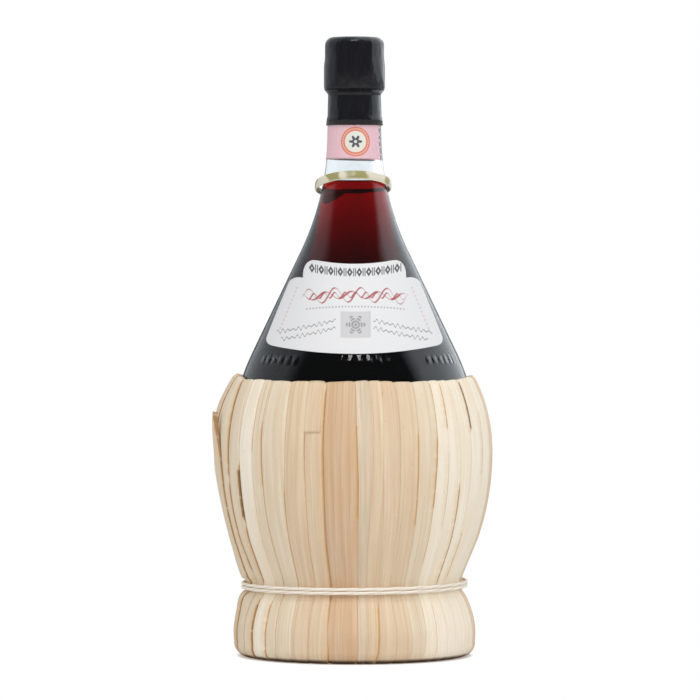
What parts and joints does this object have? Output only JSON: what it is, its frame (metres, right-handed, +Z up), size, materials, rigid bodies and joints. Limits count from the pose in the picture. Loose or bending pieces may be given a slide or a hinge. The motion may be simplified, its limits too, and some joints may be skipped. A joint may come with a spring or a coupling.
{
  "type": "straw-covered wine flask",
  "caption": "Corked and sealed round-bottomed glass wine flask in a basket of vertical dried sedge leaves, bound at the waist and standing on a sedge foot ring",
  "frame": {"origin": "on the surface that the flask stands on, under the middle of its foot", "axes": "+Z up along the neck, -Y towards the front label, +X to the right seen from the front"},
  "size_m": [0.13, 0.1302, 0.29],
  "materials": {
    "glass": "clear blown glass with a slight green tint",
    "wine": "clear dark red wine",
    "cork": "natural cork with dark pores",
    "capsule": "satin near-black foil",
    "seal_paper": "pink printed paper with a fine guilloche pattern",
    "label_paper": "smooth white label paper with fine printed borders",
    "sedge_leaf": "dried sedge leaf, cream to tan and grey-green, with lengthwise veins",
    "sedge_bundle": "twisted dried sedge",
    "raffia": "twisted raffia, slightly glossy",
    "neck_raffia": "flat dried leaf strip, glossy olive to cream"
  },
  "bodies": {
    "root": {"glass_bottle": "glass", "wine": "wine", "capsule_skirt": "capsule", "seal_strip": "seal_paper", "front_label": "label_paper", "neck_loop": "neck_raffia", "rim_cord": "raffia", "sedge_lining": "sedge_bundle", "waist_cord": "raffia", "foot_ring": "sedge_bundle", "leaf_01": "sedge_leaf", "leaf_02": "sedge_leaf", "leaf_03": "sedge_leaf", "leaf_04": "sedge_leaf", "leaf_05": "sedge_leaf", "leaf_06": "sedge_leaf", "leaf_07": "sedge_leaf", "leaf_08": "sedge_leaf", "leaf_09": "sedge_leaf", "leaf_10": "sedge_leaf", "leaf_11": "sedge_leaf", "leaf_12": "sedge_leaf", "leaf_13": "sedge_leaf", "leaf_14": "sedge_leaf", "leaf_15": "sedge_leaf", "leaf_16": "sedge_leaf", "leaf_17": "sedge_leaf", "leaf_18": "sedge_leaf", "leaf_19": "sedge_leaf", "leaf_20": "sedge_leaf", "leaf_21": "sedge_leaf", "leaf_22": "sedge_leaf", "leaf_23": "sedge_leaf", "leaf_24": "sedge_leaf", "leaf_25": "sedge_leaf", "leaf_26": "sedge_leaf", "leaf_27": "sedge_leaf", "leaf_28": "sedge_leaf", "leaf_29": "sedge_leaf", "leaf_30": "sedge_leaf", "leaf_31": "sedge_leaf", "leaf_32": "sedge_leaf", "leaf_33": "sedge_leaf", "leaf_34": "sedge_leaf", "leaf_35": "sedge_leaf", "leaf_36": "sedge_leaf", "leaf_37": "sedge_leaf", "leaf_38": "sedge_leaf", "leaf_39": "sedge_leaf", "leaf_40": "sedge_leaf"},
    "cork": {"cork": "cork"},
    "capsule_top": {"capsule_top": "capsule"}
  },
  "joints": [
    {"name": "cork_slide", "type": "slide", "parent": "root", "child": "cork", "axis": [0, 0, 1], "range_m": [0, 0.047]},
    {"name": "capsule_slide", "type": "slide", "parent": "cork", "child": "capsule_top", "axis": [0, 0, 1], "range_m": [0, 0.03]}
  ]
}
